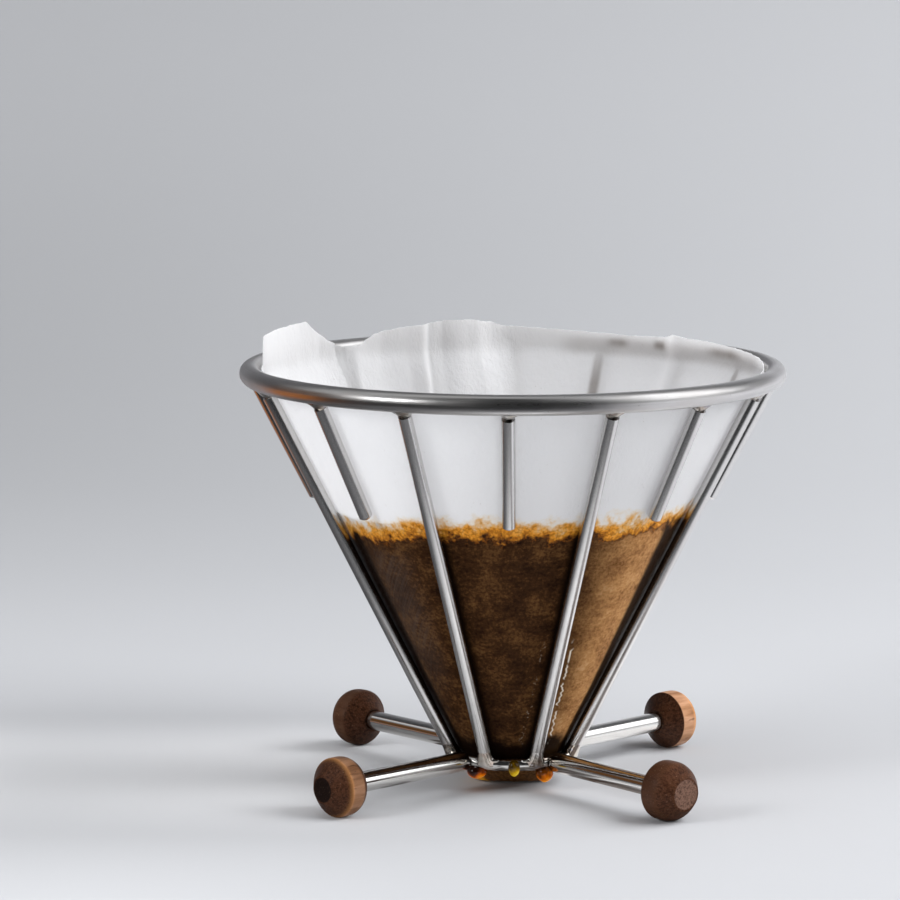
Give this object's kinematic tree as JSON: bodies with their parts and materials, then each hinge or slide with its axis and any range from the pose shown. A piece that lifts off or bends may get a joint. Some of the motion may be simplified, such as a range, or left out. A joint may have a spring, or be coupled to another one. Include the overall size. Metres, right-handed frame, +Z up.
{
  "type": "pour over dripper",
  "caption": "Welded steel wire cone on level legs with wooden ball knobs, holding a lift-out paper filter with ground coffee over a cup or jug.",
  "frame": {"origin": "on the basket's axis, in the plane that the four knobs rest on", "axes": "+Z up along the basket's axis, -Y to the front, +X to the right; the legs lie at 45 degrees to X and Y, the front right one 3 degrees nearer the front"},
  "size_m": [0.13, 0.13, 0.1071],
  "materials": {
    "ring_steel": "satin",
    "rib_steel": "satin",
    "leg_steel": "polished",
    "weld_metal": "satin",
    "walnut": "satin",
    "filter_paper": "matte",
    "coffee": "satin"
  },
  "bodies": {
    "frame": {"top_ring": "ring_steel", "lower_ring": "ring_steel", "long_rib_1": "rib_steel", "short_rib_1": "rib_steel", "long_rib_2": "rib_steel", "short_rib_2": "rib_steel", "long_rib_3": "rib_steel", "short_rib_3": "rib_steel", "long_rib_4": "rib_steel", "short_rib_4": "rib_steel", "long_rib_5": "rib_steel", "short_rib_5": "rib_steel", "long_rib_6": "rib_steel", "short_rib_6": "rib_steel", "long_rib_7": "rib_steel", "short_rib_7": "rib_steel", "long_rib_8": "rib_steel", "short_rib_8": "rib_steel", "rib_head_welds": "weld_metal", "rib_foot_welds": "weld_metal", "leg_front_left": "leg_steel", "leg_front_right": "leg_steel", "leg_back_right": "leg_steel", "leg_back_left": "leg_steel", "knob_front_left": "walnut", "knob_front_right": "walnut", "knob_back_right": "walnut", "knob_back_left": "walnut", "leg_weld_front_left": "weld_metal", "leg_weld_front_right": "weld_metal", "leg_weld_back_right": "weld_metal", "leg_weld_back_left": "weld_metal"},
    "filter": {"paper_filter": "filter_paper", "coffee_slurry": "coffee"}
  },
  "joints": [
    {"name": "filter_lift", "type": "slide", "parent": "frame", "child": "filter", "axis": [0, 0, 1], "range_m": [0, 0.115]}
  ]
}
